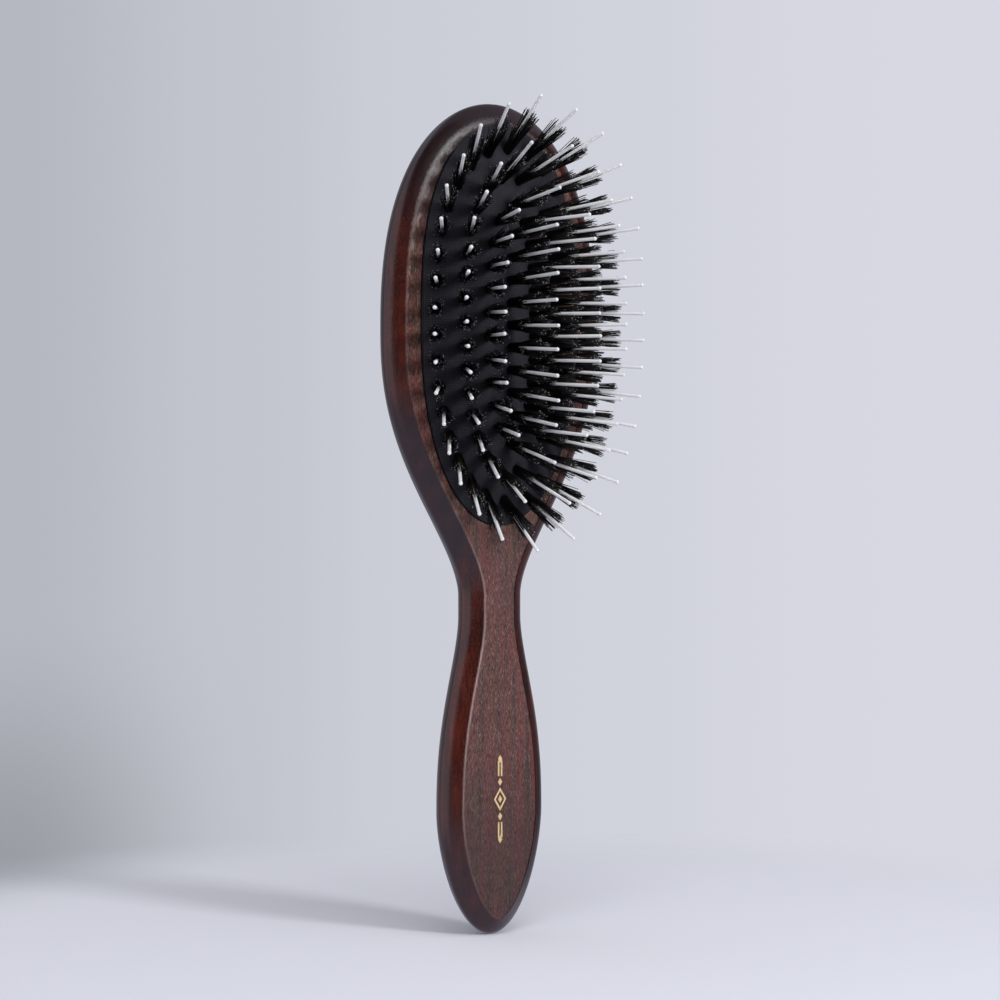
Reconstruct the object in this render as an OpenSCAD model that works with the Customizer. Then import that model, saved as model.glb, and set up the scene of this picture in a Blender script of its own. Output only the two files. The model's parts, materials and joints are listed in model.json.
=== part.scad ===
// Oval pneumatic hair brush: a one-piece wooden body, an air-filled rubber cushion,
// nylon ball pins and boar-bristle tufts.
// The brush stands on the tip of its handle: +Z runs up its length, +X across it,
// and the bristles point to -Y. Depths are counted from the flat front face of the wood.

/* [Wooden body] */
// Length of the wood from the handle's tip to the top of the head
body_len = 225; // [215:1:240]
// Height of the head's widest place
head_z = 164; // [158:1:172]
// Half width of the head
head_half_w = 35.9; // [34:0.1:40]
// Thickness of the head
head_t = 16.4; // [15:0.1:19]
// Height where the neck runs out into the head
neck_top_z = 92.5; // [89:0.5:95]
// Height where the neck runs out into the grip
neck_low_z = 86.5; // [80:0.5:88]
// Half width of the neck
neck_half_w = 9.7; // [8.5:0.1:11]
// Thickness of the neck
neck_t = 11.4; // [10:0.1:13]
// Height of the grip's widest place
grip_z = 33.5; // [30:1:42]
// Half width of the grip
grip_half_w = 17.1; // [14:0.1:20]
// Thickness of the grip
grip_t = 13.9; // [12:0.1:16]
// Width of the rounded moulding round the front face
edge_w = 4.7; // [3:0.1:5]
// Depth of that moulding
edge_d = 3.9; // [2:0.1:4]
// How much of the domed back is sanded away into a flat
back_flat_cut = 0.6; // [0.3:0.1:1.2]

/* [Cushion] */
// Flat wooden rim between the head's outline and the cushion's opening, at the sides
rim_w = 9.4; // [8.5:0.1:11]
// The same rim at the top of the head
rim_top = 5.5; // [5.5:0.1:9]
// Height of the opening's lower end
pad_low_z = 111.3; // [109:0.1:116]
// How far the cushion's crown stands in front of the wood
crown = 5; // [3.5:0.1:6.5]
// Thickness of the cushion's rubber
rubber_t = 1.2; // [0.9:0.1:1.6]
// Thickness of the bead at the cushion's edge
bead_t = 1.5; // [1.2:0.1:1.8]
// How far the groove is cut outwards from the opening
groove_w = 1.8; // [1.2:0.1:2.4]
// Thickness of the wooden lip over the groove
lip_t = 1.4; // [1.2:0.1:1.8]
// Depth of the air chamber below the front face
chamber_d = 6.6; // [6:0.1:7]
// Thickness of the backing sheet
backing_t = 0.5; // [0.3:0.1:0.8]

/* [Pins and tufts] */
// Pins in the row down the middle
centre_count = 9; // [7:1:9]
// Pins in each ring round that row, from the inside out
ring_counts = [22, 30, 34]; // [16:1:34]
// Distance from the outermost ring to the side of the opening
ring_margin = 3.4; // [3.4:0.1:4.5]
// The same distance at the two ends of the opening
end_margin = 7; // [7:0.1:9]
// Length of a pin in front of the cushion
pin_len = 20.5; // [17:0.1:24]
// Diameter of a pin
pin_d = 1; // [0.8:0.05:1.2]
// Diameter of a pin's ball tip
ball_d = 1.2; // [1.1:0.05:1.5]
// Diameter of a pin's foot
foot_d = 3; // [2.6:0.1:3.2]
// Thickness of a pin's foot
foot_t = 0.8; // [0.6:0.1:1]
// Length of a tuft in front of the cushion
tuft_len = 13.8; // [11:0.1:16]
// Diameter of a tuft where it leaves the cushion
tuft_d = 2.6; // [2:0.1:2.7]
// Diameter of a tuft at its tips
tuft_tip_d = 5; // [3:0.1:5.2]
// Thickness of the wire that binds a tuft's root
wire_d = 0.45; // [0.3:0.05:0.5]

/* [Foil ornament] */
// Height of the ornament's middle on the grip
foil_z = 37.2; // [34:0.1:40]
// Length of the ornament
foil_len = 24; // [20:0.5:28]
// Width of its large lozenge
lozenge_w = 4.2; // [3:0.1:5]
// Width of its gold lines
foil_line_w = 0.5; // [0.3:0.05:0.8]
// Thickness of the foil
foil_t = 0.08; // [0.05:0.01:0.2]

/* [Hidden] */
$fn = 32;

// Clearances
seat_gap = 0.1;    // between the parts clamped in the groove
side_gap = 0.25;   // between the cushion and the sides of its opening
pin_gap = 0.06;    // round a pin in its tuft
hole_gap = 0.08;   // round a tuft in its hole in the cushion

// How full the ends of the outlines are: 2 is an ellipse, more is squarer, less more pointed
head_fullness = 2.4;
tip_fullness = 1.65;
back_fullness = 3;
pad_top_fullness = 2.8;
pad_low_fullness = 2.25;
// The S-shaped shoulders on either side of the neck
shoulder_out = 2.4;
shoulder_in = 1.75;
// The moulding starts with this turn away from the face, which leaves a crisp line there
edge_turn = 35;
// How flat the cushion's dome is on top
dome_flatness = 2.2;

// The front face lies at +Y, so that the whole brush is centred on Y = 0
face_y = (crown + pin_len - head_t + back_flat_cut) / 2;

pad_half_w = head_half_w - rim_w;
pad_top_z = body_len - rim_top;
pad_z = (pad_top_z + pad_low_z) / 2;
pad_half_len = (pad_top_z - pad_low_z) / 2;
groove_h = bead_t + backing_t + 3 * seat_gap;
ring_pitch = (pad_half_w - ring_margin) / len(ring_counts);

// Length of a tuft's root behind the cushion, with its binding at the end, and the foot behind it
root_len = 1.8;
binding_drop = root_len - wire_d;

// Sideways lean of the pins at the middle of each ring's long sides, and at its ends,
// as the sine of the angle
side_lean = [0, 0.42, 0.58, 0.63];
end_lean = [0.12, 0.23, 0.46, 0.67];
centre_half_len = pad_half_len - len(ring_counts) * ring_pitch - end_margin;

// ---- Outline of the wood ----

function clamp01(v) = min(1, max(0, v));

// 1 at the widest place, falling to 0 at the end, round like an oval
function oval_end(s, fullness) = sqrt(max(0, 1 - pow(clamp01(s), fullness)));

// 0 at the neck, rising to 1 at the widest place
function shoulder(s) = pow(1 - pow(1 - clamp01(s), shoulder_out), shoulder_in);

// A size that changes along the brush, given at the head, the neck and the grip
function along(z, head, neck, grip, top_end, low_end) =
    z > head_z ? head * oval_end((z - head_z) / (body_len - head_z), top_end)
    : z > neck_top_z ? neck + (head - neck) * shoulder((z - neck_top_z) / (head_z - neck_top_z))
    : z > neck_low_z ? neck
    : z > grip_z ? neck + (grip - neck) * shoulder((neck_low_z - z) / (neck_low_z - grip_z))
    : grip * oval_end((grip_z - z) / grip_z, low_end);

function half_w(z) = along(z, head_half_w, neck_half_w, grip_half_w, head_fullness, tip_fullness);
function back_d(z) =
    along(z, head_t - edge_d, neck_t - edge_d, grip_t - edge_d, back_fullness, tip_fullness);

// Heights of the cross sections, closer together towards the rounded ends
end_steps = 16;
grip_steps = 14;
neck_steps = 18;
tip_z = 0.02;
stations = concat(
    [tip_z],
    [for (i = [1 : end_steps]) grip_z * (1 - cos(90 * i / end_steps))],
    [for (i = [1 : grip_steps]) grip_z + (neck_low_z - grip_z) * i / grip_steps],
    [neck_top_z],
    [for (i = [1 : neck_steps]) neck_top_z + (head_z - neck_top_z) * i / neck_steps],
    [for (i = [1 : end_steps - 1]) head_z + (body_len - head_z) * sin(90 * i / end_steps)],
    [body_len - tip_z]
);

// Direction along the right-hand outline at height z, as [x, z]
function outline_dir(z) =
    let (
        h = min(0.5, z / 2, (body_len - z) / 2),
        dx = half_w(z + h) - half_w(z - h),
        dz = 2 * h
    )
    [dx, dz] / norm([dx, dz]);

// Right half of one cross section, from the crease on the face round to the back's middle
edge_steps = 5;
back_steps = 10;
function half_section(z) =
    let (
        w = half_w(z),
        d = outline_dir(z),
        inward = [-d[1], d[0]],
        back = back_d(z)
    )
    concat(
        [for (j = [0 : edge_steps - 1])
            let (
                turn = edge_turn + (90 - edge_turn) * j / edge_steps,
                left = 1 - (sin(turn) - sin(edge_turn)) / (1 - sin(edge_turn)),
                depth = (cos(edge_turn) - cos(turn)) / cos(edge_turn)
            )
            [w + inward[0] * edge_w * left, face_y + edge_d * depth, z + inward[1] * edge_w * left]],
        [for (j = [0 : back_steps])
            let (a = 90 * j / back_steps)
            [w * cos(a), face_y + edge_d + back * sin(a), z]]
    );

module wood_blank() {
    half_count = edge_steps + back_steps + 1;
    ring = 2 * half_count - 1;
    rows = len(stations);
    last = rows - 1;
    points = [for (z = stations)
        let (half = half_section(z))
        each concat(half, [for (j = [half_count - 2 : -1 : 0]) [-half[j][0], half[j][1], half[j][2]]])];
    // The side walls, two triangles to a cell
    walls = [for (i = [0 : rows - 2], j = [0 : ring - 2])
        let (a = i * ring + j, b = a + ring)
        each [[a, b, a + 1], [a + 1, b, b + 1]]];
    // The flat face, between the left and the right crease
    face = [for (i = [0 : rows - 2])
        let (a = i * ring, b = a + ring)
        [a, a + ring - 1, b + ring - 1, b]];
    // The two ends, closed with cross strips between the mirrored halves
    low_cap = [for (j = [0 : half_count - 2])
        j == half_count - 2 ? [j, j + 1, ring - 1 - j] : [j, j + 1, ring - 2 - j, ring - 1 - j]];
    o = last * ring;
    top_cap = [for (j = [0 : half_count - 2])
        j == half_count - 2
            ? [o + ring - 1 - j, o + j + 1, o + j]
            : [o + ring - 1 - j, o + ring - 2 - j, o + j + 1, o + j]];
    polyhedron(points = points, faces = concat(walls, face, low_cap, top_cap), convexity = 6);
}

// ---- Oval of the cushion ----

// Point of the cushion's oval at angle a, scaled by share, and its outward normal, as [x, z]
function oval_fullness(a) = sin(a) < 0 ? pad_low_fullness : pad_top_fullness;
function oval_rise(a) = sign(sin(a)) * pow(abs(sin(a)), 2 / oval_fullness(a));
function oval_point(a, half_width, half_length) = [half_width * cos(a), half_length * oval_rise(a)];
function oval_normal(a) =
    let (
        rise = abs(oval_rise(a)),
        n = [2 * cos(a) / pad_half_w,
             sign(sin(a)) * oval_fullness(a) * pow(rise, oval_fullness(a) - 1) / pad_half_len]
    )
    n / norm(n);
// Oval of the opening, moved outwards by e
function opening_point(a, e) = oval_point(a, pad_half_w, pad_half_len) + e * oval_normal(a);

// 0 in the middle of the cushion, 1 at the opening's edge
function from_middle(x, z) =
    let (s = abs(z) / pad_half_len)
    pow(x / pad_half_w, 2) + pow(s, z < 0 ? pad_low_fullness : pad_top_fullness);
// How far a dome has risen at [x, z] from its middle: 1 in the middle, 0 at the opening
function dome_share(x, z) = 1 - pow(clamp01(from_middle(x, z)), dome_flatness);
// Height of the cushion's outer face in front of the wood there
function dome(x, z) = crown * dome_share(x, z);

oval_steps = 56;
oval_angles = [for (i = [0 : oval_steps - 1]) 360 * i / oval_steps];

// A plate of the opening's outline, between two depths, widened by e
module opening_plate(from_d, to_d, e) {
    outline = [for (a = oval_angles) let (p = opening_point(a, e)) [p[0], pad_z + p[1]]];
    translate([0, face_y + to_d, 0])
        rotate([90, 0, 0])
            linear_extrude(height = to_d - from_d)
                polygon(outline);
}

// A closed shell swept round the oval, from the middle of its front to the middle of its rear.
// Each entry is [share, e, depth, rise]: a share of the oval, a distance outwards from it,
// a depth behind the face, and how much a dome lifts that point.
module oval_shell(profile) {
    n = len(profile);
    first = profile[0];
    last = profile[n - 1];
    rim = [for (p = profile, a = oval_angles)
        let (q = p[0] * opening_point(a, -side_gap) + p[1] * oval_normal(a))
        [q[0], face_y + p[2] - p[3] * dome_share(q[0], q[1]), pad_z + q[1]]];
    m = len(rim);
    middles = [[0, face_y + first[2] - first[3], pad_z], [0, face_y + last[2] - last[3], pad_z]];
    front = [for (i = [0 : oval_steps - 1]) [m, (i + 1) % oval_steps, i]];
    bands = [for (k = [0 : n - 2], i = [0 : oval_steps - 1])
        let (j = (i + 1) % oval_steps, a = k * oval_steps, b = a + oval_steps)
        each [[a + i, a + j, b + i], [a + j, b + j, b + i]]];
    o = (n - 1) * oval_steps;
    rear = [for (i = [0 : oval_steps - 1]) [m + 1, o + i, o + (i + 1) % oval_steps]];
    polyhedron(points = concat(rim, middles), faces = concat(front, bands, rear), convexity = 6);
}

// Shares of the oval at which the domes are drawn
shares = [0.2, 0.4, 0.55, 0.68, 0.78, 0.86, 0.93];

// ---- Places of the tufts ----

// Points along one ring and the length walked up to each, for even spacing
ring_steps = 180;
function ring_half_w(k) = k * ring_pitch;
function ring_half_len(k) = centre_half_len + k * ring_pitch;
function ring_walk(k) =
    [for (i = [0 : ring_steps])
        oval_point(360 * i / ring_steps, ring_half_w(k), ring_half_len(k))];
function walked(points) =
    [for (i = 0, d = 0; i < len(points);
          i = i + 1, d = i < len(points) ? d + norm(points[i] - points[i - 1]) : d) d];

// Every ring starts at the middle of its right side; each second ring starts half a step on
function ring_places(k) =
    let (
        points = ring_walk(k),
        lengths = walked(points),
        count = ring_counts[k - 1],
        total = lengths[ring_steps]
    )
    [for (i = [0 : count - 1])
        lookup_place(points, lengths, total * (i + (k % 2) / 2) / count)];
function lookup_place(points, lengths, d) =
    let (
        x = lookup(d, [for (i = [0 : ring_steps]) [lengths[i], points[i][0]]]),
        z = lookup(d, [for (i = [0 : ring_steps]) [lengths[i], points[i][1]]])
    )
    [x, z];
centre_places = [for (i = [0 : centre_count - 1])
    [0, centre_half_len * (2 * i / (centre_count - 1) - 1)]];
function places(k) = k == 0 ? centre_places : ring_places(k);

// Direction of the pin at place p of ring k
function lean(k, p) =
    let (
        share_x = k == 0 ? 0 : p[0] / ring_half_w(k),
        share_z = p[1] / ring_half_len(k),
        fullness = p[1] < 0 ? pad_low_fullness : pad_top_fullness,
        n = k == 0 ? [0, share_z]
            : [2 * share_x / ring_half_w(k),
               sign(share_z) * fullness * pow(abs(share_z), fullness - 1) / ring_half_len(k)],
        u = k == 0 ? n : n / norm(n),
        x = side_lean[k] * u[0],
        z = end_lean[k] * u[1]
    )
    [x, -sqrt(1 - x * x - z * z), z];

// Puts its children at place p of ring k, with +Z along the pin and Z = 0 on the cushion
module at_place(k, p) {
    d = lean(k, p);
    translate([p[0], face_y - dome(p[0], p[1]), pad_z + p[1]])
        rotate([0, acos(d[2]), atan2(d[1], d[0])])
            children();
}

// Distance along the pin through the leaning cushion wall
function wall_along(k, p) = rubber_t / -lean(k, p)[1];

// ---- Sub-parts ----

module wooden_body() {
    color("#3b2420")
        difference() {
            wood_blank();
            // Air chamber and the undercut groove that holds the cushion
            opening_plate(-1, chamber_d, 0);
            opening_plate(lip_t, lip_t + groove_h, groove_w);
            // Flat on the back
            translate([-head_half_w, face_y + head_t - back_flat_cut, 0])
                cube([2 * head_half_w, head_t, body_len]);
        }
}

module rubber_cushion() {
    bead_top = lip_t + seat_gap;
    bead_low = bead_top + bead_t;
    bead_out = side_gap + groove_w - seat_gap;
    profile = concat(
        [for (s = shares) [s, 0, 0, crown]],
        [[1, 0, 0, 0], [1, 0, bead_top, 0], [1, bead_out, bead_top, 0]],
        [[1, bead_out, bead_low, 0], [1, -rubber_t, bead_low, 0]],
        [for (i = [len(shares) - 1 : -1 : 0]) [shares[i], 0, rubber_t, crown]]
    );
    color("#232427")
        difference() {
            oval_shell(profile);
            for (k = [0 : 3], p = places(k))
                at_place(k, p)
                    translate([0, 0, -3 * rubber_t])
                        cylinder(h = 5 * rubber_t, d = tuft_d + 2 * hole_gap, $fn = 16);
        }
}

// Stiff sheet clamped in the groove behind the cushion's bead, clear of the pins' feet
module backing_sheet() {
    front_d = lip_t + bead_t + 2 * seat_gap;
    color("#6b6257")
        opening_plate(front_d, front_d + backing_t, groove_w - seat_gap);
}

// One nylon pin: foot, shank and ball tip
module pin(back) {
    translate([0, 0, -back - root_len - foot_t])
        cylinder(h = foot_t, d = foot_d, $fn = 24);
    translate([0, 0, -back - root_len - foot_t / 2])
        cylinder(h = back + root_len + foot_t / 2 + pin_len - ball_d / 2, d = pin_d, $fn = 16);
    translate([0, 0, pin_len - ball_d / 2])
        sphere(d = ball_d, $fn = 16);
}

// One tuft: bristles packed round the pin, straight at the root and opening to the tips
module tuft(back) {
    difference() {
        union() {
            translate([0, 0, -back - root_len])
                cylinder(h = back + root_len, d = tuft_d, $fn = 16);
            cylinder(h = tuft_len, d1 = tuft_d, d2 = tuft_tip_d, $fn = 16);
        }
        translate([0, 0, -back - root_len - 1])
            cylinder(h = back + root_len + tuft_len + 2, d = pin_d + 2 * pin_gap, $fn = 16);
    }
}

// Wire bound once round a tuft's root
module binding(back) {
    translate([0, 0, -back - binding_drop])
        rotate_extrude($fn = 24)
            translate([tuft_d / 2 + wire_d / 2, 0])
                circle(d = wire_d, $fn = 13);
}

module ring_pins(k) {
    color("#e8e6e0")
        for (p = places(k))
            at_place(k, p)
                pin(wall_along(k, p));
}

module ring_tufts(k) {
    color("#15120f")
        for (p = places(k))
            at_place(k, p)
                tuft(wall_along(k, p));
}

module ring_bindings(k) {
    color("#b9a06a")
        for (p = places(k))
            at_place(k, p)
                binding(wall_along(k, p));
}

// A diamond with its long way up the handle
module diamond(w, h) {
    polygon([[w / 2, 0], [0, h / 2], [-w / 2, 0], [0, -h / 2]]);
}

// Gold foil laid on the grip: one large open lozenge between two rules, with small diamonds
module foil_ornament() {
    lozenge_h = 1.5 * lozenge_w;
    small_w = lozenge_w / 3;
    small_h = 1.5 * small_w;
    rule_from = lozenge_h / 2 + small_h + 2 * foil_line_w;
    rule_len = foil_len / 2 - rule_from - small_h / 2 - foil_line_w;
    color("#cfb275")
        translate([0, face_y, foil_z])
            rotate([90, 0, 0])
                linear_extrude(height = foil_t) {
                    difference() {
                        diamond(lozenge_w, lozenge_h);
                        diamond(lozenge_w - 2.4 * foil_line_w, lozenge_h - 3.6 * foil_line_w);
                    }
                    diamond(small_w, small_h);
                    for (side = [-1, 1]) {
                        translate([0, side * (lozenge_h / 2 + foil_line_w + small_h / 2)])
                            diamond(small_w, small_h);
                        for (x = [-1, 1] * foil_line_w)
                            translate([x - foil_line_w / 2, side > 0 ? rule_from : -rule_from - rule_len])
                                square([foil_line_w, rule_len]);
                        translate([0, side * (foil_len / 2 - small_h / 2)])
                            diamond(small_w, small_h);
                    }
                }
}

wooden_body();
rubber_cushion();
backing_sheet();
foil_ornament();
ring_pins(0);  // centre_row_pins
ring_pins(1);  // inner_ring_pins
ring_pins(2);  // middle_ring_pins
ring_pins(3);  // outer_ring_pins
ring_tufts(0);  // centre_row_tufts
ring_tufts(1);  // inner_ring_tufts
ring_tufts(2);  // middle_ring_tufts
ring_tufts(3);  // outer_ring_tufts
ring_bindings(0);  // centre_row_bindings
ring_bindings(1);  // inner_ring_bindings
ring_bindings(2);  // middle_ring_bindings
ring_bindings(3);  // outer_ring_bindings
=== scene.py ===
import json
import math
import bmesh
import bpy
import numpy as np
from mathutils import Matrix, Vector

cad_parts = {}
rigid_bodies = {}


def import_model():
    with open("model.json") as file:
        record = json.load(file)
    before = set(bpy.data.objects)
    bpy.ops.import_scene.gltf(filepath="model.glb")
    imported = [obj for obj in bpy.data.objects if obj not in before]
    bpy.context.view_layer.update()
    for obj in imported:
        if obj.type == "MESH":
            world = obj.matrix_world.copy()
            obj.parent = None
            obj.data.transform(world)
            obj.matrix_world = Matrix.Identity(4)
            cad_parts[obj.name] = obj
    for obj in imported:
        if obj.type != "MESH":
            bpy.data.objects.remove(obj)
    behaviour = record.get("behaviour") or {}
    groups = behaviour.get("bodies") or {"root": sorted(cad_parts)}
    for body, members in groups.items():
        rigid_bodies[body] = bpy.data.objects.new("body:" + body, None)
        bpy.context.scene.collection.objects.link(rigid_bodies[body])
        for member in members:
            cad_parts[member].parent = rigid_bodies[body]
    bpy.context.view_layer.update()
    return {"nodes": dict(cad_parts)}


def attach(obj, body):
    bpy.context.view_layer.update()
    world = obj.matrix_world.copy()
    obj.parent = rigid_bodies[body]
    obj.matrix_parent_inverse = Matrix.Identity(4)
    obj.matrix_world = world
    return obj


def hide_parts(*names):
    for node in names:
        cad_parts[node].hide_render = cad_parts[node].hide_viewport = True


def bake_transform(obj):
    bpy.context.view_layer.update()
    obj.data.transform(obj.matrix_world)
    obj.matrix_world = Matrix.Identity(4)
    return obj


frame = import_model()
mm = 0.001

# Sizes in mm, the same as in the part: X runs across the brush, Y from its face to its back, Z up

wood = {
    "bodyLen": 225, "headZ": 164, "headHalfW": 35.9, "headT": 16.4,
    "neckTopZ": 92.5, "neckLowZ": 86.5, "neckHalfW": 9.7, "neckT": 11.4,
    "gripZ": 33.5, "gripHalfW": 17.1, "gripT": 13.9,
    "edgeW": 4.7, "edgeD": 3.9, "flatCut": 0.6,
    "headFullness": 2.4, "backFullness": 3, "tipFullness": 1.65,
    "shoulderOut": 2.4, "shoulderIn": 1.75,
    "tipZ": 0.02,          # the first and last sections stop this short of the ends
    "slopeStep": 0.5,      # height over which the outline's slope is taken
    "edgeSlope": 32,       # slope of the moulding where it leaves the crease, degrees
    "creasePull": 0.45,    # how far the moulding keeps that slope, as a share of edgeW
    "edgePull": 0.38,      # how far it keeps along the outline at its other end, as a share of edgeD
    "creaseRound": 0.5,    # half width of the small rounding along the crease
    "topRound": 1.5,       # the same at the top of the head
    "topRoundZ": 165, "topRoundOver": 45,  # where that wider rounding begins, and the height over which it grows
    "openingRound": 0.35,  # rounding at the cushion's opening
    "chamberRound": 0.5,   # bevel round the floor of the air chamber
    "flatSoft": 0.1,       # softness of the edge of the sanded flat
}
pad = {
    "rimW": 9.4, "rimTop": 5.5, "lowZ": 111.3, "crown": 5, "rubberT": 1.2, "beadT": 1.5,
    "grooveW": 1.8, "lipT": 1.4, "chamberD": 6.6, "backingT": 0.5, "seatGap": 0.1, "sideGap": 0.25,
    "topFullness": 2.8, "lowFullness": 2.25, "domeFlatness": 2.2,
}
field = {
    "counts": [9, 22, 30, 34], "ringMargin": 3.4, "endMargin": 7,
    "sideLean": [0, 0.42, 0.58, 0.63], "endLean": [0.12, 0.23, 0.46, 0.67],
    "pinLen": 20.5, "pinR": 0.5, "ballR": 0.6, "footR": 1.5, "footT": 0.8,
    "tuftLen": 13.8, "tuftR": 1.3, "tuftTipR": 2.5, "rootLen": 1.8,
    "wobble": 0.015, "seed": 40,  # how unevenly the pins are set by hand
}
ringNames = ["centre_row", "inner_ring", "middle_ring", "outer_ring"]
ringBodies = ["field_tufts", "field_tufts", "field_tufts", "edge_tufts"]

faceY = (pad["crown"] + field["pinLen"] - wood["headT"] + wood["flatCut"]) / 2
padHalfW = wood["headHalfW"] - pad["rimW"]
padTopZ = wood["bodyLen"] - pad["rimTop"]
padZ = (padTopZ + pad["lowZ"]) / 2
padHalfLen = (padTopZ - pad["lowZ"]) / 2
ringPitch = (padHalfW - field["ringMargin"]) / 3
centreHalfLen = padHalfLen - 3 * ringPitch - field["endMargin"]


# A new piece from points in mm and lists of faces, smooth shaded, sharp where faces meet above the given angle
def makePiece(name, points, faceLists, sharpAngle=40, attributes=None):
    mesh = bpy.data.meshes.new(name)
    faces = [f for faceList in faceLists for f in np.asarray(faceList).tolist()]
    mesh.from_pydata((np.asarray(points, float) * mm).tolist(), [], faces)
    for key, values in (attributes or {}).items():
        mesh.attributes.new(key, "FLOAT", "POINT").data.foreach_set("value", np.asarray(values, np.float32))
    mesh.polygons.foreach_set("use_smooth", np.ones(len(mesh.polygons), bool))
    mesh.update()
    mesh.set_sharp_from_angle(angle=math.radians(sharpAngle))
    piece = bpy.data.objects.new(name, mesh)
    bpy.context.scene.collection.objects.link(piece)
    return piece


# A piece that is one or more closed shells, with every face turned outwards
def makeShell(name, points, faceLists, sharpAngle, attributes=None):
    piece = makePiece(name, points, faceLists, sharpAngle, attributes)
    shell = bmesh.new()
    shell.from_mesh(piece.data)
    bmesh.ops.recalc_face_normals(shell, faces=shell.faces)
    shell.to_mesh(piece.data)
    shell.free()
    piece.data.set_sharp_from_angle(angle=math.radians(sharpAngle))
    return piece


# Quads between neighbouring rows and columns of a table of point numbers
def quadsOf(table, closed=False):
    if closed:
        table = np.concatenate([table, table[:, :1]], 1)
    return np.stack([table[:-1, :-1], table[:-1, 1:], table[1:, 1:], table[1:, :-1]], -1).reshape(-1, 4)


# Triangles between a ring of point numbers and its middle point
def fanOf(ring, middle):
    return np.stack([np.full(len(ring), middle), ring, np.roll(ring, -1)], -1)


# The same faces once for each copy of a shape that has the given number of points
def repeated(faces, copies, pointsEach):
    shift = (np.arange(copies) * pointsEach)[:, None, None]
    return (faces[None] + shift).reshape(-1, faces.shape[1])


# Outline of the wood

# Square root of 1 - s^fullness: 1 at the widest place, 0 at the end
def ovalEnd(s, fullness):
    return np.sqrt(np.clip(1 - np.clip(s, 0, 1) ** fullness, 0, 1))


# (1 - (1 - s)^out)^in, an S from 0 at the neck to 1 at the widest place
def shoulder(s):
    return (1 - (1 - np.clip(s, 0, 1)) ** wood["shoulderOut"]) ** wood["shoulderIn"]


# A size that changes with height z: oval end, shoulder, neck, shoulder and oval end in turn
def along(z, head, neck, grip, topFullness, lowFullness):
    return np.select(
        [z > wood["headZ"], z > wood["neckTopZ"], z > wood["neckLowZ"], z > wood["gripZ"]],
        [head * ovalEnd((z - wood["headZ"]) / (wood["bodyLen"] - wood["headZ"]), topFullness),
         neck + (head - neck) * shoulder((z - wood["neckTopZ"]) / (wood["headZ"] - wood["neckTopZ"])),
         neck + 0 * z,
         neck + (grip - neck) * shoulder((wood["neckLowZ"] - z) / (wood["neckLowZ"] - wood["gripZ"]))],
        grip * ovalEnd((wood["gripZ"] - z) / wood["gripZ"], lowFullness))


# Half the width of the wood at height z
def halfWidth(z):
    return along(z, wood["headHalfW"], wood["neckHalfW"], wood["gripHalfW"],
                 wood["headFullness"], wood["tipFullness"])


# Depth of the domed back behind the moulding at height z
def backDepth(z):
    edge = wood["edgeD"]
    return along(z, wood["headT"] - edge, wood["neckT"] - edge, wood["gripT"] - edge,
                 wood["backFullness"], wood["tipFullness"])


# Inward normal of the outline, from the slope of its half width over a short step of height
def outlineInward(z):
    h = np.minimum(wood["slopeStep"], np.minimum(z / 2, (wood["bodyLen"] - z) / 2))
    d = np.stack([halfWidth(z + h) - halfWidth(z - h), 2 * h])
    d /= np.hypot(*d)
    return -d[1], d[0]


# Oval of the cushion

# How full the oval is: its lower half is more pointed than its upper half
def fullnessAt(z):
    return np.where(z < 0, pad["lowFullness"], pad["topFullness"])


# The oval: x = half width times cos a, z = half length times |sin a|^(2 / fullness) with the sign of sin a
def ovalPoint(a, halfW, halfLen):
    s = np.sin(a)
    return np.stack([halfW * np.cos(a), halfLen * np.sign(s) * np.abs(s) ** (2 / fullnessAt(s))], -1)


# The opening's oval moved outwards by e along its normal
def openingPoint(a, e):
    s = np.sin(a)
    full = fullnessAt(s)
    rise = np.abs(s) ** (2 / full)
    n = np.stack([2 * np.cos(a) / padHalfW, np.sign(s) * full * rise ** (full - 1) / padHalfLen], -1)
    n /= np.linalg.norm(n, axis=-1, keepdims=True)
    return ovalPoint(a, padHalfW, padHalfLen) + np.asarray(e)[..., None] * n


# Share of the dome's rise: 1 - ((x / half width)^2 + (|z| / half length)^fullness)^flatness
def domeShare(x, z):
    m = (x / padHalfW) ** 2 + (np.abs(z) / padHalfLen) ** fullnessAt(z)
    return 1 - np.clip(m, 0, 1) ** pad["domeFlatness"]


# Places and directions of the pins

# Even steps of length round the ring's oval, starting at the middle of its right side; odd rings half a step on
def ringPlaces(k):
    if k == 0:
        z = centreHalfLen * np.linspace(-1, 1, field["counts"][0])
        return np.stack([0 * z, z], -1)
    everyTwoDegrees = np.radians(np.arange(0, 361, 2))
    p = ovalPoint(everyTwoDegrees, k * ringPitch, centreHalfLen + k * ringPitch)
    walked = np.concatenate([[0], np.cumsum(np.linalg.norm(np.diff(p, axis=0), axis=1))])
    at = walked[-1] * (np.arange(field["counts"][k]) + (k % 2) / 2) / field["counts"][k]
    return np.stack([np.interp(at, walked, p[:, 0]), np.interp(at, walked, p[:, 1])], -1)


# The ring's outward normal scaled by its lean at the sides and at the ends, with the rest of the length along -Y
def ringLeans(k, p):
    halfLen = centreHalfLen + k * ringPitch
    z = p[:, 1] / halfLen
    if k == 0:
        u = np.stack([0 * z, z], -1)
    else:
        f = fullnessAt(z)
        u = np.stack([2 * p[:, 0] / (k * ringPitch) ** 2, np.sign(z) * f * np.abs(z) ** (f - 1) / halfLen], -1)
        u /= np.linalg.norm(u, axis=-1, keepdims=True)
    x, z = field["sideLean"][k] * u[:, 0], field["endLean"][k] * u[:, 1]
    return np.stack([x, -np.sqrt(1 - x * x - z * z), z], -1)


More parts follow.
